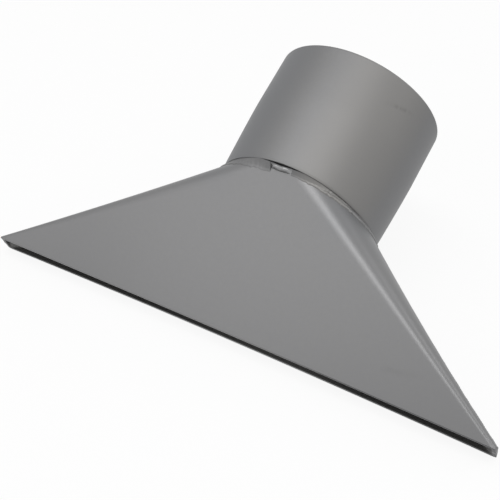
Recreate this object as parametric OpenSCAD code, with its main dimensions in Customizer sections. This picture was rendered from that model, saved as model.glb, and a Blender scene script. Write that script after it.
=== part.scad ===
// Slot suction nozzle for a commercial vacuum cleaner. A round tube socket is
// welded to a hood of folded sheet that widens into a long, narrow mouth.
//
// Row frame: +Z up, X along the mouth. The nozzle lies on its rear panel, as it
// does on a bench: the mouth opens towards -Y and the tube climbs towards +Y.
// Nozzle frame, in which every piece is drawn: the origin is the middle of the
// mouth, X runs along the mouth, the front panel faces -Y, and Z is the axis of
// the tube, up from the mouth. Module lay_down() takes one frame to the other.

/* [Socket tube] */
// Outside diameter of the tube at its open end
tube_od = 76.1; // [74:0.1:78]
// Wall thickness of the tube
tube_wall = 2; // [1.6:0.1:2.4]
// Length of the tube above the neck of the hood
tube_len = 58; // [50:1:90]
// Length of the parallel bore and outside below the rim
tube_parallel = 32; // [20:1:40]
// How far the radius is drawn in between the parallel part and the neck
tube_draw = 1.65; // [1.4:0.05:1.8]
// How far the end of the tube dips at the sides to sit on the flaring hood
cope_drop = 1.7; // [1.5:0.1:1.8]
// Chamfer on both edges of the rim
rim_edge = 0.3; // [0.2:0.1:0.5]

/* [Hood] */
// Width of the mouth over its sharp tips, before they are cut off square
mouth_w = 240; // [220:5:280]
// How much is cut off each tip of the mouth
tip_cut = 3.2; // [2.6:0.1:4]
// Depth of the mouth over the outside of both lips
mouth_d = 10.4; // [10:0.2:14]
// Height of the hood from the mouth to the neck
hood_h = 64.7; // [60:0.1:80]
// Thickness of the sheet
sheet_t = 1.5; // [1.2:0.1:1.6]
// Outside diameter of the hood's neck, which stands inside the tube
neck_od = 68.4; // [68:0.1:68.5]
// Height of the neck inside the tube
neck_h = 5; // [3:0.5:8]
// How far each lip is pinched in at the middle of the mouth
lip_pinch = 0.9; // [0:0.1:1]
// How far the edge of each lip is hollowed at the middle of the mouth
lip_hollow = 0.8; // [0:0.1:1.5]
// How far the two side ridges are hollowed at half height
side_hollow = 1.9; // [0:0.1:2.5]

/* [Welds] */
// Width of the collar bead below the end of the tube
collar_w = 2.6; // [2:0.1:3.5]
// Width of the heavier fill bead at the tip of each triangular panel
fill_w = 4; // [3.5:0.1:5]
// Length of the fill bead round the neck
fill_len = 10; // [6:1:16]
// Gap between the two shells along each side ridge, filled by the seam bead
seam_gap = 1.6; // [1:0.2:2]
// How far the seam bead stands proud of the sheet
seam_crown = 0.5; // [0.2:0.1:0.8]

/* [Hidden] */
$fn = 128;
FRONT = -1;
REAR = 1;
LEFT = -1;
RIGHT = 1;

tube_r = tube_od / 2;
seam_r = tube_r - tube_draw;
neck_r = neck_od / 2;
half_w = mouth_w / 2;
tip_x = half_w - tip_cut;
lip_r = mouth_d / 2;
top_z = hood_h + tube_len;
side_slope = (half_w - neck_r) / hood_h;
panel_slope = (neck_r - lip_r) / hood_h;

// The sheet measured across, in plan, on the steep sides and on the panels
wall_x = sheet_t * sqrt(1 + side_slope * side_slope);
wall_y = sheet_t * sqrt(1 + panel_slope * panel_slope);

// A skin of the hood: half width and half depth of the mouth, then the neck's
// half width and half depth
OUTER = [half_w, lip_r, neck_r, neck_r];
INNER = [half_w - wall_x, lip_r - wall_y, neck_r - wall_x, neck_r - wall_y];

// Columns run round a half shell from one ridge to the other. A column is the
// place along the mouth, from 1 at the right to -1 at the left, and the turn
// round the bent corner, from 0 at the ridge to 1 at the edge of the panel.
corner_steps = 16;
panel_steps = 10;
apex_deg = 3;
RIGHT_CORNER = [for (i = [0 : corner_steps]) [1, i / corner_steps]];
LEFT_CORNER = [for (i = [corner_steps : -1 : 0]) [-1, i / corner_steps]];
PANEL = [for (i = [1 : panel_steps - 1]) [1 - 2 * i / panel_steps, 1]];
COLUMNS = concat(RIGHT_CORNER, PANEL, LEFT_CORNER);

// Rows climb the hood from the lip at 0 to the neck at 1, then up the neck. The
// cut at each tip ends where the side ridge passes it.
tip_v = tip_cut / (half_w - neck_r + 4 * side_hollow);
neck_top = 1 + neck_h / hood_h;
ROWS = [0, tip_v / 2, tip_v, 0.08, 0.16, 0.28, 0.42, 0.56, 0.7, 0.84, 0.93, 1, neck_top];
last_row = len(ROWS) - 1;

// The end of the tube is coped by a large drum that lies along Y
cope_r = (seam_r * seam_r + cope_drop * cope_drop) / (2 * cope_drop);

// Half the angle of a fill bead, and sections from the middle of a collar bead
fill_deg = asin(fill_len / 2 / seam_r);
bead_steps = 16;

// The nozzle lies on the rear lip and on the lower rear edge of the tube
rest_deg = atan2(seam_r - lip_r, hood_h);
y_low = -2 * lip_r * sin(rest_deg);
y_high = (tube_r - rim_edge - lip_r) * sin(rest_deg) + top_z * cos(rest_deg);

function mix(a, b, q) = a + (b - a) * q;

// Angle of a column round the neck, from the ridge
function neck_deg(c, s) =
    mix(asin(seam_gap / 2 / s[3]), 90 - apex_deg, c[1])
    + apex_deg * (1 - abs(c[0]));

// How far from the middle skin s is cut off square at each tip of the mouth
function tip_limit(s) = s[0] < half_w ? tip_x - sheet_t : tip_x;

// Point of skin s on column c at row v. Straight lines join the mouth to the
// neck, with the lips pinched and hollowed and the side ridges hollowed.
function hood_pt(side, c, v, s) =
    let (hand = c[0] < 0 ? LEFT : RIGHT,
         up = min(v, 1),
         turn = mix(asin(seam_gap / 2 / s[1]), 90, c[1]),
         ring = neck_deg(c, s),
         middle = 1 - c[0] * c[0],
         mouth_x = c[0] * (s[0] - s[1]) + hand * s[1] * cos(turn),
         mouth_y = s[1] * sin(turn),
         bow = 4 * up * (1 - up) * side_hollow * pow(cos(ring), 2),
         flank_x = mix(mouth_x, hand * s[2] * cos(ring), up) - hand * bow,
         x = hand * min(hand * flank_x, tip_limit(s)),
         y = mix(mouth_y, s[3] * sin(ring), up)
             - lip_pinch * middle * pow(1 - up, 4),
         z = hood_h * v + lip_hollow * middle * (1 - up))
    [x, side * y, z];

// Height of the coped end of the tube in the plan direction phi
function tube_end_z(phi) =
    let (x = seam_r * cos(phi))
    hood_h - cope_r + sqrt(cope_r * cope_r - x * x);

// Distance of the hood's outside from the axis, in the direction phi at height
// z. Every level of the hood is a slot with round ends.
function sheet_r(phi, z) =
    let (up = z / hood_h,
         straight = (1 - up) * (half_w - lip_r),
         end_r = mix(lip_r, neck_r, up),
         c = abs(cos(phi)),
         s = abs(sin(phi)),
         bow = 4 * up * (1 - up) * side_hollow)
    end_r * c <= straight * s
        ? end_r / s
        : straight * c + sqrt(end_r * end_r - pow(straight * s, 2)) - bow * pow(c, 3);

// Section of a bead that fills the corner under the tube, from the sheet at
// the end of the tube out to the tube's edge, and down to the toe on the sheet
function bead(phi, width, inset, crown) =
    let (z = tube_end_z(phi),
         root = sheet_r(phi, z),
         lean = sheet_r(phi, z - 1) - root,
         drop = width / norm([1, lean]),
         toe = sheet_r(phi, z - drop),
         leg = max(0.5, seam_r - inset - root),
         proud = [1, lean] / norm([1, lean]),
         upper = mix([root, z], [toe, z - drop], 0.35)
             + proud * (leg * 0.65 + crown * 0.8),
         lower = mix([root, z], [toe, z - drop], 0.7)
             + proud * (leg * 0.3 + crown))
    [for (p = [[root, z], [root + leg, z], upper, lower, [toe, z - drop]])
        [p.x * cos(phi), p.x * sin(phi), p.y]];

// Solid skinned over a list of sections that have equal numbers of points
module skinned(sections, flip = false) {
    n = len(sections);
    k = len(sections[0]);
    sides = [for (i = [0 : n - 2], j = [0 : k - 1])
        let (a = i * k + j, b = i * k + (j + 1) % k)
        each [[a, b, b + k], [a, b + k, a + k]]];
    first = [for (j = [k - 1 : -1 : 0]) j];
    last = [for (j = [0 : k - 1]) (n - 1) * k + j];
    faces = concat(sides, [first, last]);
    turned = [for (f = faces) [for (j = [len(f) - 1 : -1 : 0]) f[j]]];
    points = [for (s = sections) each s];
    polyhedron(points, flip ? turned : faces, convexity = 8);
}

// Takes the nozzle frame to the row frame
module lay_down() {
    translate([0, -(y_low + y_high) / 2, 0])
    rotate([rest_deg - 90, 0, 0])
    translate([0, -lip_r, 0])
    children();
}

// Half of the hood: one triangular panel and the two bent corners beside it
module half_shell(side) {
    skinned([for (c = COLUMNS) concat(
        [for (v = ROWS) hood_pt(side, c, v, OUTER)],
        [for (i = [last_row : -1 : 0]) hood_pt(side, c, ROWS[i], INNER)])],
        side == REAR);
}

// Bead that joins the two shells along a side ridge, flush at its ends
module seam_weld(hand) {
    c = [hand, 0];
    skinned([for (v = ROWS)
        let (front = hood_pt(FRONT, c, v, OUTER),
             up = min(v, 1),
             ridge = mix(half_w, neck_r, up) - 4 * up * (1 - up) * side_hollow,
             crown = v > 0 && v < 0.9 ? seam_crown : 0)
        [front,
         [hand * min(ridge + crown, tip_x + 0.1), 0, front.z],
         hood_pt(REAR, c, v, OUTER),
         hood_pt(REAR, c, v, INNER),
         hood_pt(FRONT, c, v, INNER)]],
        hand == LEFT);
}

// Bead under the tube on one side, from the front fill round to the rear fill
module collar_weld(hand) {
    middle = hand == RIGHT ? 0 : 180;
    reach = 90 - fill_deg;
    skinned([for (i = [-bead_steps : bead_steps])
        bead(middle + reach * i / bead_steps, collar_w, 0.4, 0.3)]);
}

// Heavier bead that closes the tip of a triangular panel under the tube. It
// swells from the size of the collar bead at its ends.
module fill_weld(side) {
    skinned([for (i = [-6 : 6])
        let (swell = sqrt(1 - pow(i / 6, 2)))
        bead(90 * side + fill_deg * i / 6, mix(collar_w, fill_w, swell),
             mix(0.4, 0.1, swell), mix(0.3, 0.8, swell))]);
}

// Outline of the wall of the tube: parallel below the rim, then drawn in
function wall_line(inset) =
    let (low = top_z - rim_edge - tube_parallel)
    concat([[seam_r - inset, hood_h - cope_drop - 1]],
           [for (i = [8 : -1 : 0])
               [tube_r - inset - tube_draw * pow(i / 8, 2),
                mix(low, hood_h, i / 8)]],
           [[tube_r - inset, top_z - rim_edge]]);

module tube_socket() {
    outside = wall_line(0);
    inside = wall_line(tube_wall);
    rim = [[tube_r - rim_edge, top_z],
           [tube_r - tube_wall + rim_edge, top_z]];
    back = [for (i = [len(inside) - 1 : -1 : 0]) inside[i]];
    color("#8d8c8a")
    lay_down()
    difference() {
        rotate_extrude()
        polygon(concat(outside, rim, back));
        translate([0, 0, hood_h - cope_r])
        rotate([90, 0, 0])
        cylinder(h = 3 * tube_r, r = cope_r, center = true);
        translate([0, 0, hood_h - 4])
        cylinder(h = 4, r1 = neck_r + 0.05 + 4 * side_slope, r2 = neck_r + 0.05);
    }
}

module front_shell() {
    color("#8b8b8b")
    lay_down()
    half_shell(FRONT);
}

module rear_shell() {
    color("#8b8b8b")
    lay_down()
    half_shell(REAR);
}

module left_seam_weld() {
    color("#96969a")
    lay_down()
    seam_weld(LEFT);
}

module right_seam_weld() {
    color("#96969a")
    lay_down()
    seam_weld(RIGHT);
}

module left_collar_weld() {
    color("#96969a")
    lay_down()
    collar_weld(LEFT);
}

module right_collar_weld() {
    color("#96969a")
    lay_down()
    collar_weld(RIGHT);
}

module front_fill_weld() {
    color("#a3a3a5")
    lay_down()
    fill_weld(FRONT);
}

module rear_fill_weld() {
    color("#a3a3a5")
    lay_down()
    fill_weld(REAR);
}

tube_socket();
front_shell();
rear_shell();
left_seam_weld();
right_seam_weld();
left_collar_weld();
right_collar_weld();
front_fill_weld();
rear_fill_weld();
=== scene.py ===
"""Slot suction nozzle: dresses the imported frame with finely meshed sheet, tube and weld beads.

Every shape is worked out in the nozzle frame (origin at the middle of the mouth, X along it, the
front panel facing -Y, Z up the axis of the tube) and then laid down on the rear panel.
"""

import math

import bpy
import numpy as np
from mathutils import Matrix
from bpy.props import FloatProperty, FloatVectorProperty, PointerProperty


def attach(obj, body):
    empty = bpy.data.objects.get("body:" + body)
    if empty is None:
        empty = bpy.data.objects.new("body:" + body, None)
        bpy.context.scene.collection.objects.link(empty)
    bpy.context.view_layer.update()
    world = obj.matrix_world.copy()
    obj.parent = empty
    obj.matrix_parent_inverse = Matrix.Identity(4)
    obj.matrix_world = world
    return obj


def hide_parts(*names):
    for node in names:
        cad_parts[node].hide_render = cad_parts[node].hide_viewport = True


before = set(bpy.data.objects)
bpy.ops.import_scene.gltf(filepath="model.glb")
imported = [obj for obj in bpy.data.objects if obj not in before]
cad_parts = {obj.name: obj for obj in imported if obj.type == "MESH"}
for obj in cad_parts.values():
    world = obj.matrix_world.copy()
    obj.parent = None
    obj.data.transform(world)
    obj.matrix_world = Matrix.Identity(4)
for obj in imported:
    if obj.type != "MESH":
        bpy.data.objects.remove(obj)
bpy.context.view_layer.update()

bl_info = {
    "name": "Slot Suction Nozzle",
    "version": (1, 0, 0),
    "blender": (4, 5, 0),
    "location": "3D View > Sidebar > Nozzle",
    "description": "Builds a welded sheet-metal slot nozzle with a round tube socket",
    "category": "Object",
}

FRONT, REAR = -1, 1
LEFT, RIGHT = -1, 1
# masks the materials read: heat tints, painted light tints, painted shade and scuffs
MARKS = ("straw", "blue", "shade", "scuff", "soot", "edge", "inside")

# Lengths in metres; plan directions in radians, from +X towards +Y.
RIM = 0.0003                                    # height of the rounding of the tube's rim
FOOT = 0.00015                                  # rounding of the tube's coped end
BORE_DIP = 0.00011                              # how far the bore's edge dips below the hood
EDGE_ROUND = 0.00006                            # rounding of the hood's cut edge
PANEL_TIP = math.radians(3)                     # half the angle a panel's tip spans at the neck
SHARP = math.radians(35)                        # an edge that turns by more isn't smoothed
LEFT_FRONT = math.radians(254)                  # where the left collar bead is filled out
WARM_LIGHT_SIDE, COOL_REFLECTION_SIDE, WARM_BEAD = -0.9, -2.7, -1.0   # where painted warm light and painted cool reflection fall on the tube, and where heat tints the bead
TUBE_SCUFF = (math.radians(-40.5), 0.1117)      # direction and height
PANEL_SCUFF = (0.0740, 0.0117)                  # x and height
SHADED_PATCH = -0.072                             # x of the patch of painted shade on the left of the front panel

# name, place, sides and watts of each lamp; all of them face LAMP_TARGET.
LAMPS = (("top_lamp", (0.0, -0.14, 0.9), (1.25, 0.4), 3.6),
         ("front_lamp", (-0.32, -0.62, 0.5), (0.4, 0.4), 0.42),
         ("rear_lamp", (0.9, 1.0, 0.7), (0.5, 0.5), 2.2))
LAMP_TARGET = (0, 0, 0.03)

CAMERA_UNIT = 0.03805                           # radius of the solid tube
CAMERA_ANGLES = (31.0, 39.36, 0.495)            # turn, rise and roll in degrees
CAMERA_AIM = (0, 0, 0.9)                        # in units, from the foot of the rear lip
CAMERA_AWAY = 11.857                            # in units, from the aim
CAMERA_SHIFT = (0.2235, 0.3037)                 # in units, to the right and up
FOCAL, SENSOR = 82.98686, 36.0                  # millimetres


# Settings ------------------------------------------------------------------------------------

def length(name, text, millimetres):
    """A length property whose default is given in millimetres."""
    return FloatProperty(name=name, description=text, default=millimetres / 1000, unit="LENGTH",
                         precision=5)


def colour(name, text, rgb):
    """A colour property in linear light."""
    return FloatVectorProperty(name=name, description=text, default=rgb, subtype="COLOR", size=3,
                               min=0, max=1)


class NozzleSizes(bpy.types.PropertyGroup):
    """Driving sizes of the nozzle"""
    tube_radius: length("Tube radius", "Outside radius of the tube at its rim", 37.7)
    tube_wall: length("Tube wall", "Wall thickness of the tube", 2.0)
    tube_length: length("Tube length", "Length of the tube above the neck", 58.0)
    tube_parallel: length("Parallel part", "Length of the parallel part below the rim", 24.5)
    tube_draw: length("Draw", "How far the lower end of the tube is drawn in", 1.3)
    cope_drop: length("Cope", "How far the tube's end dips at the sides", 1.7)
    mouth_width: length("Mouth width", "Width of the mouth over its tips before the cut", 240.0)
    tip_cut: length("Tip cut", "How much is cut off each tip of the mouth", 3.2)
    mouth_depth: length("Mouth depth", "Depth of the mouth over both lips", 10.4)
    hood_height: length("Hood height", "Height of the hood from mouth to neck", 64.7)
    neck_radius: length("Neck radius", "Outside radius of the hood's neck", 34.2)
    neck_height: length("Neck height", "Height of the neck inside the tube", 5.0)
    sheet: length("Sheet", "Thickness of the hood's sheet", 1.5)
    lip_pinch: length("Lip pinch", "How far each lip is pinched in at the middle", 0.9)
    lip_hollow: length("Lip hollow", "How far each lip's edge is hollowed", 0.8)
    side_hollow: length("Side hollow", "How far the side ridges are hollowed", 1.9)
    seam_gap: length("Seam gap", "Gap between the shells that the seam bead fills", 1.6)
    seam_crown: length("Seam crown", "How far the seam bead stands proud", 0.45)
    collar_width: length("Collar bead", "Width of the bead under the tube", 2.6)
    fill_width: length("Fill bead", "Width of the heavier bead at a panel's tip", 3.6)
    fill_length: length("Fill length", "Length of the heavier bead round the neck", 10.0)


class NozzleFinish(bpy.types.PropertyGroup):
    """Colours of the steel, its marks, its painted shade and painted light tints, and the floor"""
    hood_colour: colour("Hood", "Satin steel of the hood", (0.212, 0.212, 0.214))
    tube_colour: colour("Tube", "Satin steel of the tube", (0.195, 0.195, 0.196))
    weld_colour: colour("Weld", "Weld metal", (0.196, 0.196, 0.198))
    filler_colour: colour("Filler", "Brighter lump of filler at a panel's tip",
                          (0.310, 0.310, 0.313))
    # heat tint on the collar bead; painted warm light on the lit front of the tube
    heat_tint_and_warm_light_colour: colour("Straw tint", "Warm heat tint", (0.214, 0.210, 0.204))
    # heat tint on the hood's flanks by the neck; painted cool reflection on the tube's edges
    heat_tint_and_cool_reflection_colour: colour("Blue tint", "Cool heat tint", (0.196, 0.199, 0.205))
    # painted shade: the panels darker towards the mouth, where the lamps light them less
    painted_shade_colour: colour("Shade", "Duller steel low on the panels", (0.184, 0.184, 0.186))
    # painted shade in creases under the tube and at the beads; also the colour of scuffs
    soot_colour: colour("Seam line", "Dark line where the tube meets the bead",
                        (0.035, 0.034, 0.033))
    # painted shade on the sheet's cut edges and on the flats the tips are cut to
    edge_shade_colour: colour("Cut edge", "Dark edge where the sheet was cut", (0.085, 0.085, 0.088))
    # painted shade inside the hood and in the tube's bore
    inside_shade_colour: colour("Inside", "Dull scale inside the hood", (0.180, 0.178, 0.175))
    floor_colour: colour("Floor", "Floor and backdrop", (0.93, 0.93, 0.93))


# Shapes --------------------------------------------------------------------------------------

def sizes():
    """The nozzle's sizes, with those that follow from them."""
    group = bpy.context.scene.nozzle_sizes
    k = {name: getattr(group, name) for name in NozzleSizes.__annotations__}
    k["half"] = k["mouth_width"] / 2
    k["tip"] = k["half"] - k["tip_cut"]
    k["lip"] = k["mouth_depth"] / 2
    k["seam"] = k["tube_radius"] - k["tube_draw"]
    k["top"] = k["hood_height"] + k["tube_length"]
    k["rim_foot"] = k["top"] - RIM
    k["neck_up"] = 1 + k["neck_height"] / k["hood_height"]
    k["fill"] = math.asin(k["fill_length"] / 2 / k["seam"])
    k["flank"] = (k["half"] - k["neck_radius"]) / k["hood_height"]
    k["panel"] = (k["neck_radius"] - k["lip"]) / k["hood_height"]
    k["wall_x"] = k["sheet"] * math.hypot(1, k["flank"])
    k["wall_y"] = k["sheet"] * math.hypot(1, k["panel"])
    k["cope"] = (k["seam"] ** 2 + k["cope_drop"] ** 2) / (2 * k["cope_drop"])
    k["rest"] = math.atan2(k["seam"] - k["lip"], k["hood_height"])
    sin, cos = math.sin(k["rest"]), math.cos(k["rest"])
    k["centre"] = ((k["tube_radius"] - RIM - k["lip"]) * sin + k["top"] * cos
                   - 2 * k["lip"] * sin) / 2
    k["outer"] = (k["half"], k["lip"], k["neck_radius"], k["neck_radius"])
    k["inner"] = (k["half"] - k["wall_x"], k["lip"] - k["wall_y"],
                  k["neck_radius"] - k["wall_x"], k["neck_radius"] - k["wall_y"])
    return k


def mix(a, b, q):
    """a + (b - a) q."""
    return a + (b - a) * q


def lay_down(p, k):
    """Nozzle frame to row frame: y from the rear lip and z turn by the resting angle, and the
    whole is centred over the origin with y_row = (y - lip) sin r + z cos r - centre and
    z_row = z sin r - (y - lip) cos r."""
    sin, cos = math.sin(k["rest"]), math.cos(k["rest"])
    y, z = p[..., 1] - k["lip"], p[..., 2]
    return np.stack([p[..., 0], y * sin + z * cos - k["centre"], z * sin - y * cos], axis=-1)


def hood_point(side, place, turn, up, skin, k):
    """A point of one skin of the hood. place is where the column stands along the mouth, from 1
    to -1; turn is 0 at the ridge and 1 at the edge of the panel. The mouth is a slot with round
    ends and the neck a circle: straight lines join points whose angles match, less a bow
    4 v (1 - v) cos^2 at the sides and a pinch (1 - v)^4 (1 - place^2) at the lips. Beyond the
    tip, x stays at the flat that the tip is cut to."""
    half, lip, rx, ry = skin
    hand = np.where(place < 0, -1.0, 1.0)
    v = np.minimum(up, 1)
    gap = k["seam_gap"] / 2
    mouth = mix(math.asin(gap / lip), math.pi / 2, turn)
    ring = (mix(math.asin(gap / ry), math.pi / 2 - PANEL_TIP, turn)
            + PANEL_TIP * (1 - np.abs(place)))
    middle = 1 - place ** 2
    mouth_x = place * (half - lip) + hand * lip * np.cos(mouth)
    bow = 4 * v * (1 - v) * k["side_hollow"] * np.cos(ring) ** 2
    x = mix(mouth_x, hand * rx * np.cos(ring), v) - hand * bow
    tip = k["tip"] if half == k["half"] else k["tip"] - k["sheet"]
    x = hand * np.minimum(hand * x, tip)
    y = mix(lip * np.sin(mouth), ry * np.sin(ring), v) - k["lip_pinch"] * middle * (1 - v) ** 4
    z = k["hood_height"] * up + k["lip_hollow"] * middle * (1 - v)
    return np.stack(np.broadcast_arrays(x, side * y, z), axis=-1)


def tube_end(phi, k):
    """Height of the coped end of the tube in the plan direction phi: a drum of radius R lies
    along Y, so z = hood - R + sqrt(R^2 - x^2) with x = seam cos phi."""
    x = k["seam"] * np.cos(phi)
    return k["hood_height"] - k["cope"] + np.sqrt(k["cope"] ** 2 - x ** 2)


def sheet_radius(phi, z, k):
    """Distance of the hood's outside from the axis in the direction phi at height z. Each level
    is a slot with round ends, half straight a and end radius r: r / sin phi on the flat, and
    a cos phi + sqrt(r^2 - a^2 sin^2 phi) less the bow on the ends."""
    up = z / k["hood_height"]
    a = (1 - up) * (k["half"] - k["lip"])
    r = mix(k["lip"], k["neck_radius"], up)
    c, s = np.abs(np.cos(phi)), np.abs(np.sin(phi))
    bow = 4 * up * (1 - up) * k["side_hollow"]
    round_end = a * c + np.sqrt(np.maximum(r ** 2 - (a * s) ** 2, 0)) - bow * c ** 3
    return np.where(r * c <= a * s, r / np.maximum(s, 1e-6), round_end)


def ramp(x, low, high):
    """0 below low, 1 above high, 3 q^2 - 2 q^3 between."""
    q = np.clip((x - low) / (high - low), 0, 1)
    return q * q * (3 - 2 * q)


def bell(x, width):
    """1 at 0 and less to both sides: exp(-(x / width)^2)."""
    return np.exp(-(x / width) ** 2)


def waves(t, seed):
    """A smooth irregular wave between about -1 and 1: a sum of five sines of rising frequency
    with random phases, each divided by the square root of its number."""
    rng = np.random.default_rng(seed)
    total = sum(np.sin(t * (1 + 0.83 * n) + rng.uniform(0, 6.28)) / math.sqrt(n + 1)
                for n in range(5))
    return total / 2


# Meshes --------------------------------------------------------------------------------------

def grid_faces(rows, columns, around):
    """Quads over a grid of rows x columns points, closed across the columns if around is true."""
    i, j = np.meshgrid(np.arange(rows - 1), np.arange(columns if around else columns - 1),
                       indexing="ij")
    a, b = i * columns + j, i * columns + (j + 1) % columns
    return np.stack([a, b, b + columns, a + columns], axis=-1).reshape(-1, 4)


def add_object(name, data):
    """A new object with that data, linked into the scene."""
    item = bpy.data.objects.new(name, data)
    bpy.context.scene.collection.objects.link(item)
    return item


def make_piece(name, points, replaced, material, marks, ring=False):
    """One closed piece from a grid of sections, points[section, point], each section a closed
    loop. A ring joins its last section to its first; otherwise both ends get a cap. marks are
    the masks that its material reads, with one number a point."""
    k = sizes()
    n, m = points.shape[:2]
    flat = lay_down(points.reshape(-1, 3), k)
    faces = grid_faces(n, m, True)
    if ring:
        j = np.arange(m)
        a, b = (n - 1) * m + j, (n - 1) * m + (j + 1) % m
        faces = np.concatenate([faces, np.stack([a, b, (j + 1) % m, j], axis=-1)])
    polygons = faces.tolist()
    if not ring:
        polygons += [list(range(m - 1, -1, -1)), list(range((n - 1) * m, n * m))]
    mesh = bpy.data.meshes.new(name)
    mesh.from_pydata(flat.tolist(), [], polygons)
    corners = flat[faces]
    volume = np.einsum("ij,ij->", corners[:, 0] + corners[:, 2],
                       np.cross(corners[:, 1] - corners[:, 0], corners[:, 2] - corners[:, 0]))
    if volume < 0:
        mesh.flip_normals()
    mesh.polygons.foreach_set("use_smooth", np.ones(len(polygons), bool))
    mesh.set_sharp_from_angle(angle=SHARP)
    for mark in MARKS:
        values = marks.get(mark, np.zeros((n, m)))
        layer = mesh.attributes.new(mark, "FLOAT", "POINT")
        layer.data.foreach_set("value", np.ascontiguousarray(values, dtype=np.float32).ravel())
    mesh.update()
    piece = add_object(name, mesh)
    mesh.materials.append(material)
    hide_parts(replaced)
    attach(piece, "root")
    return piece


# Materials -----------------------------------------------------------------------------------

class Sock:
    """A shader socket or a number that adds Math nodes as it is used in an expression."""

    def __init__(self, shader, out):
        self.shader, self.out = shader, out

    def _math(self, operation, *values):
        return self.shader.node("ShaderNodeMath", {"operation": operation},
                                {i: v for i, v in enumerate(values)})

    def __add__(self, other):
        return self._math("ADD", self, other)

    def __sub__(self, other):
        return self._math("SUBTRACT", self, other)

    def __mul__(self, other):
        return self._math("MULTIPLY", self, other)

    def __rsub__(self, other):
        return self._math("SUBTRACT", other, self)

    __radd__ = __add__
    __rmul__ = __mul__

    def ramp(self, low, high):
        """0 at low, 1 at high, with a smooth step between."""
        return self.shader.node("ShaderNodeMapRange", {"interpolation_type": "SMOOTHSTEP"},
                                {0: self, 1: low, 2: high, 3: 0.0, 4: 1.0})


class Shader:
    """The node tree of a material or a world under construction."""

    def __init__(self, block):
        self.block = block
        block.use_nodes = True
        self.tree = block.node_tree
        self.tree.nodes.clear()

    def node(self, kind, settings=None, values=None, out=0):
        """A node of that kind with its settings and then its socket values, as one of its
        output sockets."""
        node = self.tree.nodes.new(kind)
        for key, value in (settings or {}).items():
            setattr(node, key, value)
        for key, value in (values or {}).items():
            self.put(node.inputs[key], value)
        return Sock(self, node.outputs[out]) if node.outputs else None

    def put(self, socket, value):
        """Link an expression to a socket, or give the socket a plain value."""
        if isinstance(value, Sock):
            self.tree.links.new(value.out, socket)
        else:
            socket.default_value = value

    def noise(self, scale, detail, rough):
        """Noise in the piece's own coordinates."""
        place = self.node("ShaderNodeTexCoord", out="Object")
        return self.node("ShaderNodeTexNoise", {},
                         {"Vector": place, "Scale": scale, "Detail": detail, "Roughness": rough})

    def mark(self, name):
        """One of the masks on the mesh."""
        return self.node("ShaderNodeAttribute", {"attribute_name": name}, out="Fac")

    def ray(self, kind):
        """1 for a ray of that kind and 0 for any other."""
        return self.node("ShaderNodeLightPath", out=f"Is {kind} Ray")

    def blend(self, factor, a, b):
        """Colour a where the factor is 0 and b where it is 1."""
        a = a if isinstance(a, Sock) else (*a, 1.0)
        b = b if isinstance(b, Sock) else (*b, 1.0)
        return self.node("ShaderNodeMix", {"data_type": "RGBA"}, {0: factor, 6: a, 7: b}, out=2)

    def bump(self, height, strength, distance, normal=None):
        """The normal of a relief, on top of another relief where one is given."""
        values = {"Strength": strength, "Distance": distance, "Height": height}
        if normal:
            values["Normal"] = normal
        return self.node("ShaderNodeBump", {}, values)

    def metal(self, base, roughness, normal):
        """The finished material, as bare metal."""
        surface = self.node("ShaderNodeBsdfPrincipled", {},
                            {"Base Color": base, "Roughness": roughness, "Metallic": 1.0,
                             "Normal": normal})
        return self.end("Material", surface)

    def end(self, kind, surface):
        """The finished material or world, once its output node has the surface."""
        self.node("ShaderNodeOutput" + kind, {}, {"Surface": surface})
        return self.block


def scaled(rgb, factor):
    """A colour times a number, worked out in Python."""
    return tuple(min(1.0, c * factor) for c in rgb)


def satin_steel(name, rgb, finish, roughness):
    """Bead-blasted steel: slow clouds of shade and gloss, a fine mottle and a very fine grain.
    Marks on the mesh say where it is tinted by heat or by painted warm light and painted cool
    reflections, where it is scuffed, and where painted shade darkens it: low on the panels, in
    the crease under the tube, on cut edges and inside."""
    shader = Shader(bpy.data.materials.new(name))
    cloud = shader.noise(14.0, 2.0, 0.55)
    mottle = shader.noise(620.0, 3.0, 0.6)
    grain = shader.noise(2600.0, 2.0, 0.6)
    tone = 0.5 + (cloud - 0.5) * 0.8 + (mottle - 0.5) * 0.9
    base = shader.blend(tone, scaled(rgb, 0.96), scaled(rgb, 1.04))
    # heat tints and painted light tints, then scuffs and painted shade of several kinds
    tints = (("straw", finish.heat_tint_and_warm_light_colour, 1.0), ("blue", finish.heat_tint_and_cool_reflection_colour, 1.0),
             ("shade", finish.painted_shade_colour, 1.0), ("scuff", finish.soot_colour, 0.3),
             ("soot", finish.soot_colour, 1.0), ("edge", finish.edge_shade_colour, 1.0),
             ("inside", finish.inside_shade_colour, 1.0))
    for mark, tint, most in tints:
        base = shader.blend(shader.mark(mark) * most, base, tint[:])
    gloss = roughness + (cloud - 0.5) * 0.06 + shader.mark("inside") * 0.25
    return shader.metal(base, gloss, shader.bump(grain, 0.25, 0.00006))


def weld_metal(name, rgb, finish, roughness=0.5, relief=0.0001):
    """Weld metal: close to the sheet in tone, faintly mottled where it has been brushed."""
    shader = Shader(bpy.data.materials.new(name))
    mottle = shader.noise(520.0, 3.0, 0.55)
    grain = shader.noise(2600.0, 2.0, 0.6)
    base = shader.blend(mottle.ramp(0.3, 0.7), scaled(rgb, 0.95), scaled(rgb, 1.05))
    base = shader.blend(shader.mark("straw"), base, finish.heat_tint_and_warm_light_colour[:])
    # painted shade in the crease at the bead's root and toe
    base = shader.blend(shader.mark("soot"), base, finish.soot_colour[:])
    rough = shader.bump(mottle, 0.4, relief)
    gloss = roughness + (mottle - 0.5) * 0.12
    return shader.metal(base, gloss, shader.bump(grain, 0.2, 0.00006, rough))


# Pieces --------------------------------------------------------------------------------------

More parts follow.
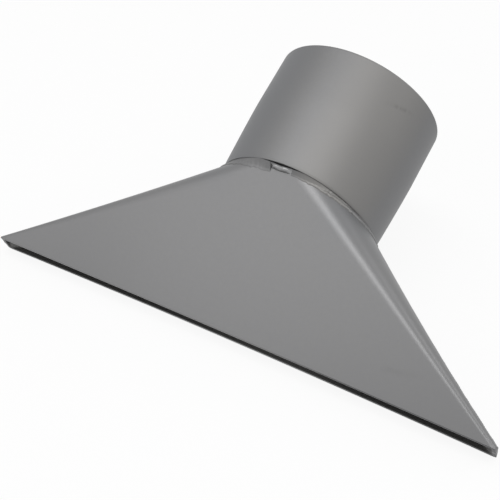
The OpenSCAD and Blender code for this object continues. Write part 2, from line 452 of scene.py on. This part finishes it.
def shell_marks(points, side, lip, k):
    """Marks of a shell. lip is 1 on the cut edge of the sheet, 0 on its outside and -1 inside.
    The front panel gets painted shade towards the mouth, most at the right and in a patch at the
    left, and has one small scuff. The rear panel gets fainter painted shade there, and the cut
    edges, the tip flats and the inside get painted shade too."""
    x, y, z = points[..., 0], points[..., 1], points[..., 2]
    up = z / k["hood_height"]
    flank = np.abs(x) / np.maximum(np.hypot(x, y), 1e-6)
    near = ramp(z, k["hood_height"] - 0.022, k["hood_height"] - 0.004)
    low = np.clip(1 - up, 0, 1) ** 1.5
    # painted shade low on the front panel, most at the right and in a patch at the left
    painted_shade_weight = 0.15 + 0.5 * ramp(x, 0, 0.1) + 0.4 * bell(x - SHADED_PATCH, 0.03)
    along, above = x - PANEL_SCUFF[0], z - PANEL_SCUFF[1]
    scuff = bell(along - 0.2 * above, 0.0045) * bell(above - 0.17 * along, 0.0009)
    # painted shade on the cut edges: the front lip's to the right, the rear lip's towards the tips
    if side == FRONT:
        edge_shade_weight = ramp(x, 0.0, 0.06)
    else:
        edge_shade_weight = ramp(np.abs(x), 0.025, 0.07)
    outside = lip == 0
    flat = (np.abs(x) > k["tip"] - 0.00002) & outside
    return {"blue": 0.8 * near * ramp(flank, 0.45, 0.8) * outside,
            # painted shade towards the mouth
            "shade": low * painted_shade_weight * outside if side == FRONT else 0.3 * low * outside,
            "scuff": scuff * outside * (side == FRONT) * (0.5 + 0.5 * waves(x * 2400, 4)),
            # painted shade on the cut edges and the tip flats
            "edge": np.where(lip == 1, 0.15 + 0.8 * edge_shade_weight, 0) + 0.75 * flat,
            # painted shade on the inner skin
            "inside": (lip == -1) * 1.0}


def build_shell(side):
    """Half of the hood as closed sections down the outside, round the lip and up the inside."""
    k = sizes()
    finish = bpy.context.scene.nozzle_finish
    steps = 61
    turn = np.linspace(0, 1, steps)
    place = np.linspace(1, -1, steps)[1:-1]
    places = np.concatenate([np.ones(steps), place, -np.ones(steps)])
    turns = np.concatenate([turn, np.ones(len(place)), turn[::-1]])
    rows = np.concatenate([[0.002], np.linspace(0.006, 0.042, 13), np.linspace(0.06, 1, 52),
                           [k["neck_up"]]])
    places, turns = places[:, None], turns[:, None]
    outer = hood_point(side, places, turns, rows[None, ::-1], k["outer"], k)
    inner = hood_point(side, places, turns, rows[None, :], k["inner"], k)
    edges = [hood_point(side, places, turns, np.zeros((1, 1)), k[skin], k)
             for skin in ("outer", "inner")]
    lip = mix(*edges, np.array([0.1, 0.2, 0.5, 0.8, 0.9])[None, :, None])
    lip[..., 2] += np.array([EDGE_ROUND, 0, 0, 0, EDGE_ROUND])[None, :]
    points = np.concatenate([outer, lip, inner], axis=1)
    zone = np.zeros(points.shape[:2])
    zone[:, outer.shape[1]:] = 1
    zone[:, outer.shape[1] + lip.shape[1]:] = -1
    name = "front_shell" if side == FRONT else "rear_shell"
    steel = satin_steel(name + "_steel", finish.hood_colour[:], finish, 0.45)
    return make_piece(name + "_sheet", points, name, steel,
                      shell_marks(points, side, zone, k))


def build_tube():
    """The tube as a ring of wall sections: down the outside, which is drawn in by q^1.3 below
    the parallel part, round the coped end, up the bore and over the rounded rim."""
    k = sizes()
    finish = bpy.context.scene.nozzle_finish
    phi = np.linspace(0, 2 * math.pi, 361)[:-1][:, None]
    low = k["rim_foot"] - k["tube_parallel"]
    end = tube_end(phi, k)

    def wall(z):
        """Outside radius of the tube at height z."""
        q = np.clip((low - z) / (low - k["hood_height"]), 0, 1)
        return k["tube_radius"] - k["tube_draw"] * q ** 1.3

    down = np.concatenate([np.linspace(0, 0.97, 90), np.linspace(0.975, 1, 8)])[None, :]
    outside_z = mix(k["rim_foot"], end + FOOT, down)
    outside = (wall(outside_z), outside_z)
    r_out = wall(end)
    r_in = r_out - k["tube_wall"]
    end_in = np.maximum(end, k["hood_height"] - BORE_DIP)
    foot = (np.concatenate([r_out - FOOT, mix(r_out, r_in, 0.5), r_in], axis=1),
            np.concatenate([end, mix(end, end_in, 0.5), end_in], axis=1))
    inside_z = mix(end_in + 0.0005, k["rim_foot"], np.linspace(0, 1, 60)[None, :])
    inside = (wall(inside_z) - k["tube_wall"], inside_z)
    turn = np.linspace(0, math.pi, 9)[None, 1:-1] + 0 * phi
    mid = k["tube_radius"] - k["tube_wall"] / 2
    rim = (mid - k["tube_wall"] / 2 * np.sign(np.cos(turn)) * np.abs(np.cos(turn)) ** 0.45,
           k["rim_foot"] + RIM * np.sin(turn) ** 0.7)
    r = np.concatenate([outside[0], foot[0], inside[0], rim[0]], axis=1)
    z = np.concatenate([outside[1], foot[1], inside[1], rim[1]], axis=1)
    points = np.stack([r * np.cos(phi), r * np.sin(phi), z], axis=-1)
    n, unshaded_rows = outside_z.shape[1], 12
    above = z - end
    outer = np.zeros(points.shape[:2])
    outer[:, :n + 1] = 1
    # painted shade in the bore, except in the rows nearest the rim
    inner = np.zeros(points.shape[:2])
    inner[:, n + 2:n + 3 + inside_z.shape[1] - unshaded_rows] = 0.75
    side = np.cos(phi)
    # painted shade: a dark line in the crease under the coped end, stronger to the right
    line = ramp(side, -0.2, 0.7)
    soot = 0.35 * line * bell(above, 0.0008) + 0.08 * np.exp(-above / 0.001)
    streak = (phi - TUBE_SCUFF[0] + math.pi) % (2 * math.pi) - math.pi
    scuff = bell(streak, 0.13) * bell(z - TUBE_SCUFF[1] - 0.012 * streak, 0.0007)
    # painted cool reflection on the tube's left and right edges, painted warm light on its front
    blue = ramp(np.cos(phi - COOL_REFLECTION_SIDE), 0.55, 0.95) + 0.5 * ramp(side, 0.93, 1)
    marks = {"straw": 0.8 * ramp(np.cos(phi - WARM_LIGHT_SIDE), 0.78, 1.0) * outer,
             "blue": blue * outer,
             "scuff": scuff * outer * (0.55 + 0.45 * waves(streak * 60, 9)),
             "soot": soot * outer, "inside": inner}
    steel = satin_steel("tube_steel", finish.tube_colour[:], finish, 0.54)
    return make_piece("tube_socket_wall", points, "tube_socket", steel, marks,
                      ring=True)


def build_seam(hand):
    """Bead along a side ridge: crowned by cos across, rippled along its length, flush at the
    mouth and in the neck."""
    k = sizes()
    finish = bpy.context.scene.nozzle_finish
    up = np.concatenate([np.linspace(0, 1, 540), [k["neck_up"]]])[:, None]
    place, turn = np.full((1, 1), float(hand)), np.zeros((1, 1))
    front = hood_point(FRONT, place, turn, up, k["outer"], k)
    across = np.linspace(-1, 1, 13)[None, :]
    v = np.minimum(up, 1)
    ridge = mix(k["half"], k["neck_radius"], v) - 4 * v * (1 - v) * k["side_hollow"]
    swell = np.clip(v / 0.02, 0, 1) * np.clip((0.92 - v) / 0.03, 0, 1)
    along = v * math.hypot(k["half"] - k["neck_radius"], k["hood_height"])
    ripple = 0.00007 * np.cos(2 * math.pi * (along / 0.0011 - 0.35 * across ** 2))
    reach = np.cos(across * math.pi / 2)
    crown = (k["seam_crown"] + 0.00012 * waves(along * 420, 3)) * reach ** 0.8
    proud = swell * (crown + ripple * reach)
    base = mix(front[..., 0:1].reshape(-1, 1), hand * ridge, reach)
    x = hand * np.minimum(hand * base + proud, k["tip"] + 0.00004 * reach)
    y = k["seam_gap"] / 2 * across + 0 * up
    z = front[..., 2].reshape(-1, 1) + 0 * across
    skin = np.stack([x, y, z], axis=-1)
    inner = np.stack([hood_point(side, place, turn, up, k["inner"], k).reshape(-1, 3)
                      for side in (REAR, FRONT)], axis=1)
    points = np.concatenate([skin, inner], axis=1)
    name = "left_seam_weld" if hand == LEFT else "right_seam_weld"
    metal = weld_metal(name + "_metal", finish.weld_colour[:], finish)
    return make_piece(name + "_bead", points, name, metal, {})


def bead_sections(phi, width, height, k, seed):
    """Closed sections of a bead that runs under the tube. Root and toe lie on the sheet. The
    face starts under the tube's end, short of its outside by the bare rim of the tube, which is
    least at the left front. height(s) is how far it then stands off the sheet, from s = 0 at the
    tube to 1 at the toe, and it is at least the fall (1 - s)^1.4 from where it starts. Faint
    ripples run across it and its width wanders a little."""
    end = tube_end(phi, k)
    root = sheet_radius(phi, end, k)
    lean = (sheet_radius(phi, end - 0.001, k) - root) / 0.001
    norm = np.hypot(1, lean)
    along = phi * k["seam"]
    drop = width * (1 + 0.08 * waves(along * 700, seed)) / norm
    toe = sheet_radius(phi, end - drop, k)
    s = np.linspace(0, 1, 17)[None, :]
    ripple = 0.00003 * np.cos(2 * math.pi * (along / 0.0016 + 0.6 * (s - 0.5) ** 2))
    bare = 0.0004 - 0.00032 * bell(phi % (2 * math.pi) - LEFT_FRONT, 0.38)
    under = np.maximum(k["seam"] - bare - root, 0) * norm
    lift = np.maximum(height(s), under * (1 - s) ** 1.4) + ripple * np.sin(math.pi * s)
    r = np.concatenate([root, mix(root, toe, s) + lift / norm], axis=1)
    z = np.concatenate([end, mix(end, end - drop, s) + lift * lean / norm], axis=1)
    return np.stack([r * np.cos(phi), r * np.sin(phi), z], axis=-1), s


def build_collar(hand):
    """Bead under the end of the tube on one side, from the front fill round to the rear fill:
    a low strip, wider and with a clearer toe at the side, where painted shade darkens the toe,
    and wider still at the left front."""
    k = sizes()
    finish = bpy.context.scene.nozzle_finish
    middle = 0 if hand == RIGHT else math.pi
    phi = middle + np.linspace(-1, 1, 500)[:, None] * (math.pi / 2 - k["fill"])
    side = np.cos(phi) ** 2
    proud = 0.0003 + 0.0003 * ramp(hand * np.cos(phi), 0.2, 0.7)
    fillet = 0.5 * bell(phi - LEFT_FRONT, 0.4)
    width = k["collar_width"] * (0.85 + 0.65 * side + fillet)
    points, s = bead_sections(phi, width, lambda s: proud * (1 - s ** 8) * (1 + 0.5 * s * (1 - s)),
                              k, 11 + hand)
    # painted shade along the root, more towards the right, and a toe line at the side
    clear = 0.3 * ramp(hand * np.cos(phi), 0.3, 0.6) * ramp(s, 0.86, 1)
    clear = clear + 0.4 * ramp(np.cos(phi), -0.2, 0.7) * (1 - ramp(s, 0.02, 0.16))
    soot = np.concatenate([0.2 + 0 * phi, clear], axis=1)
    straw = np.concatenate([0 * phi, ramp(np.cos(phi - WARM_BEAD), 0.9, 0.99) + 0 * s], axis=1)
    name = "left_collar_weld" if hand == LEFT else "right_collar_weld"
    metal = weld_metal(name + "_metal", finish.weld_colour[:], finish)
    return make_piece(name + "_bead", points, name, metal,
                      {"soot": soot, "straw": straw})


def build_fill(side):
    """Lump of filler at the tip of a triangular panel: swollen along its length by a half
    ellipse, with two blobs where the filler was dabbed on."""
    k = sizes()
    finish = bpy.context.scene.nozzle_finish
    t = np.linspace(-1, 1, 161)[:, None]
    swell = np.sqrt(np.maximum(1 - t ** 2, 0))
    blobs = 1 + 0.3 * np.cos(2 * math.pi * (t - 0.45) / 1.05)
    leg = mix(0.0003, 0.0014, swell)
    crown = mix(0.0001, 0.0008, swell) * blobs
    points, s = bead_sections(side * math.pi / 2 + k["fill"] * t,
                              mix(0.45, 0.62, swell) * k["fill_width"],
                              lambda s: leg * (1 - s) ** 0.7 + crown * 4 * s * (1 - s), k, 5)
    # painted shade along the root, round the toe and at the left end of the lump
    soot = 0.3 * ramp(s, 0.85, 1) * ramp(-t, -0.2, 0.6) + 0.2 * ramp(-t, 0.86, 1)
    soot = np.concatenate([0.2 + 0 * t, soot], axis=1)
    name = "front_fill_weld" if side == FRONT else "rear_fill_weld"
    metal = weld_metal(name + "_metal", finish.filler_colour[:], finish, 0.42, 0.00025)
    return make_piece(name + "_bead", points, name, metal, {"soot": soot})


# Operators -----------------------------------------------------------------------------------

class NOZZLE_OT_hood(bpy.types.Operator):
    """Build the front and rear shells of the hood"""
    bl_idname = "nozzle.hood"
    bl_label = "Hood shells"

    def execute(self, context):
        build_shell(FRONT)
        build_shell(REAR)
        return {"FINISHED"}


class NOZZLE_OT_tube(bpy.types.Operator):
    """Build the round tube socket"""
    bl_idname = "nozzle.tube"
    bl_label = "Tube socket"

    def execute(self, context):
        build_tube()
        return {"FINISHED"}


class NOZZLE_OT_welds(bpy.types.Operator):
    """Build the seam, collar and fill beads"""
    bl_idname = "nozzle.welds"
    bl_label = "Weld beads"

    def execute(self, context):
        for hand in (LEFT, RIGHT):
            build_seam(hand)
            build_collar(hand)
        for side in (FRONT, REAR):
            build_fill(side)
        return {"FINISHED"}


def pose(right, over, away, place):
    """The matrix whose axes are right, over and away and whose origin is place."""
    return Matrix([[*(float(axis[i]) for axis in (right, over, away, place))] for i in range(3)]
                  + [[0, 0, 0, 1]])


def area_light(name, centre, sides, power):
    """A rectangular lamp at centre that faces LAMP_TARGET."""
    lamp = bpy.data.lights.new(name, "AREA")
    lamp.shape, lamp.size, lamp.size_y = "RECTANGLE", *sides
    lamp.energy = power
    holder = add_object(name, lamp)
    away = np.array(centre, float) - np.array(LAMP_TARGET, float)
    away /= np.linalg.norm(away)
    side = np.cross((0, 0, 1), away)
    side /= np.linalg.norm(side)
    holder.matrix_world = pose(side, np.cross(away, side), away, centre)


def pale_surface(name, rgb):
    """Floor and backdrop: white to the eye and in reflections, matt to the lamps, and still
    taking the object's shadow."""
    shader = Shader(bpy.data.materials.new(name))
    seen = shader.ray("Camera") + shader.ray("Glossy") + shader.ray("Transmission")
    matt = shader.node("ShaderNodeBsdfDiffuse", {}, {"Color": (*rgb, 1)})
    glow = shader.node("ShaderNodeEmission", {}, {"Color": (1, 1, 1, 1), "Strength": 1.0})
    both = shader.node("ShaderNodeMixShader", {}, {0: seen * 0.9, 1: matt, 2: glow})
    return shader.end("Material", both)


def pale_sky(name):
    """World: white to the eye and in reflections, and about half as bright as a lamp."""
    sky = Shader(bpy.data.worlds.new(name))
    seen = sky.node("ShaderNodeMath", {"operation": "MAXIMUM"},
                    {0: sky.ray("Camera"), 1: sky.ray("Glossy")})
    level = sky.node("ShaderNodeMapRange", {}, {"Value": seen, "To Min": 0.55, "To Max": 1.0})
    white = sky.node("ShaderNodeBackground", {}, {"Color": (1, 1, 1, 1), "Strength": level})
    return sky.end("World", white)


def build_floor(rgb):
    """Floor that turns up through a quarter circle into a backdrop behind the nozzle."""
    wide, front, back, radius, top = 6.0, -5.0, 3.0, 0.8, 5.0
    t = np.linspace(0, math.pi / 2, 17)
    bend = np.stack([back + radius * np.sin(t), radius - radius * np.cos(t)], axis=-1)
    line = np.concatenate([[[front, 0.0]], bend, [[back + radius, top]]])
    points = np.array([[[x, y, z] for y, z in line] for x in (-wide, wide)])
    faces = grid_faces(2, len(line), False)
    mesh = bpy.data.meshes.new("floor")
    mesh.from_pydata(points.reshape(-1, 3).tolist(), [], faces[:, ::-1].tolist())
    mesh.polygons.foreach_set("use_smooth", np.ones(len(faces), bool))
    floor = add_object("floor", mesh)
    mesh.materials.append(pale_surface("pale_floor", rgb))


def add_camera(k):
    """The scene's camera. It stands CAMERA_AWAY from its aim in the direction that turn and
    rise give, is rolled about that direction, and is then shifted to the right and up."""
    turn, rise, roll = (math.radians(angle) for angle in CAMERA_ANGLES)
    eye = np.array([math.sin(turn) * math.cos(rise), -math.cos(turn) * math.cos(rise),
                    math.sin(rise)])
    right = np.array([math.cos(turn), math.sin(turn), 0.0])
    over = np.cross(eye, right)
    right, over = (math.cos(roll) * right + math.sin(roll) * over,
                   math.cos(roll) * over - math.sin(roll) * right)
    place = (np.array(CAMERA_AIM) + eye * CAMERA_AWAY + right * CAMERA_SHIFT[0]
             + over * CAMERA_SHIFT[1]) * CAMERA_UNIT
    place[1] -= k["centre"]
    lens = bpy.data.cameras.new("camera")
    lens.sensor_width, lens.lens = SENSOR, FOCAL
    lens.clip_start, lens.clip_end = 0.02, 50.0
    camera = add_object("camera", lens)
    camera.matrix_world = pose(right, over, eye, place)
    bpy.context.scene.camera = camera


class NOZZLE_OT_stage(bpy.types.Operator):
    """Add the floor, the lamps, the world and the camera"""
    bl_idname = "nozzle.stage"
    bl_label = "Stage"

    def execute(self, context):
        build_floor(context.scene.nozzle_finish.floor_colour[:])
        context.scene.world = pale_sky("studio")
        for lamp in LAMPS:
            area_light(*lamp)
        add_camera(sizes())
        context.scene.view_settings.view_transform = "Standard"
        return {"FINISHED"}


class NOZZLE_PT_panel(bpy.types.Panel):
    """Sizes, finishes and the pieces that can be built"""
    bl_label = "Slot nozzle"
    bl_idname = "NOZZLE_PT_panel"
    bl_space_type = "VIEW_3D"
    bl_region_type = "UI"
    bl_category = "Nozzle"

    def draw(self, context):
        for group in (context.scene.nozzle_sizes, context.scene.nozzle_finish):
            box = self.layout.box()
            for name in group.__annotations__:
                box.prop(group, name)
        for piece in (NOZZLE_OT_hood, NOZZLE_OT_tube, NOZZLE_OT_welds, NOZZLE_OT_stage):
            self.layout.operator(piece.bl_idname)


CLASSES = (NozzleSizes, NozzleFinish, NOZZLE_OT_hood, NOZZLE_OT_tube, NOZZLE_OT_welds,
           NOZZLE_OT_stage, NOZZLE_PT_panel)


def register():
    for item in CLASSES:
        bpy.utils.register_class(item)
    bpy.types.Scene.nozzle_sizes = PointerProperty(type=NozzleSizes)
    bpy.types.Scene.nozzle_finish = PointerProperty(type=NozzleFinish)


def unregister():
    del bpy.types.Scene.nozzle_finish
    del bpy.types.Scene.nozzle_sizes
    for item in reversed(CLASSES):
        bpy.utils.unregister_class(item)


def main():
    """Build the pieces and the stage."""
    register()
    bpy.ops.nozzle.hood()
    bpy.ops.nozzle.tube()
    bpy.ops.nozzle.welds()
    bpy.ops.nozzle.stage()


if __name__ == "__main__":
    main()
